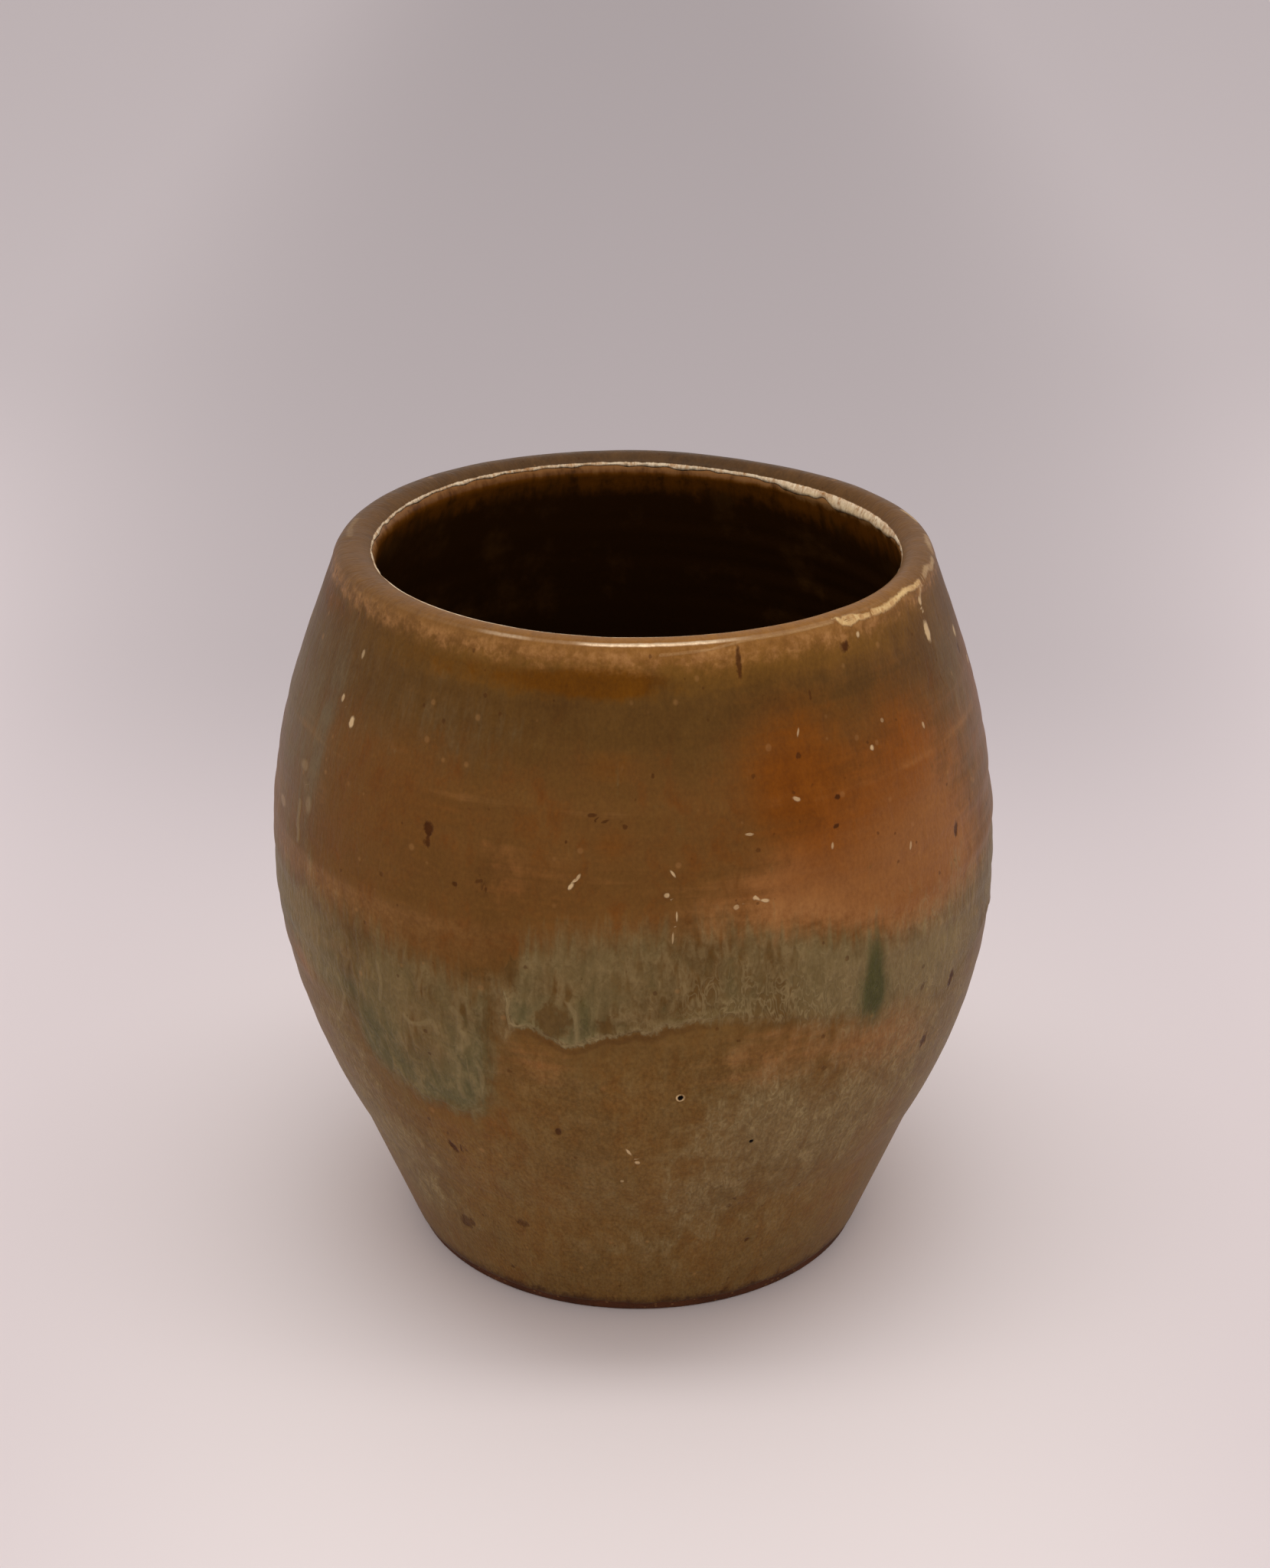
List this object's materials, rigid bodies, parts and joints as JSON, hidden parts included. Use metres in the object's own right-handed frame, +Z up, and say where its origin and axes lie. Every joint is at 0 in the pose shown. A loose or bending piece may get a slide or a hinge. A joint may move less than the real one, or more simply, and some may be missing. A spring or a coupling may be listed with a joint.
{
  "type": "stoneware vase",
  "caption": "Small thrown stoneware vase, full at the belly and drawn in to a wide mouth and a narrower turned foot, in layered brown and green-grey glazes with a running edge.",
  "frame": {"origin": "centre of the foot ring on the table, on the axis of the pot", "axes": "+Z up along the axis of the pot, -Y towards the pictured front"},
  "size_m": [0.0888, 0.0888, 0.0901],
  "materials": {
    "fired_clay": "bare, iron-rich fired stoneware, matte",
    "brown_glaze": "warm brown glaze, satin",
    "running_glaze": "amber to green-grey streaked glaze, semi-gloss",
    "liner_glaze": "dark brown glaze, glossy"
  },
  "bodies": {
    "root": {"stoneware_body": "fired_clay", "base_glaze": "brown_glaze", "top_glaze": "running_glaze", "liner_glaze": "liner_glaze"}
  },
  "joints": []
}
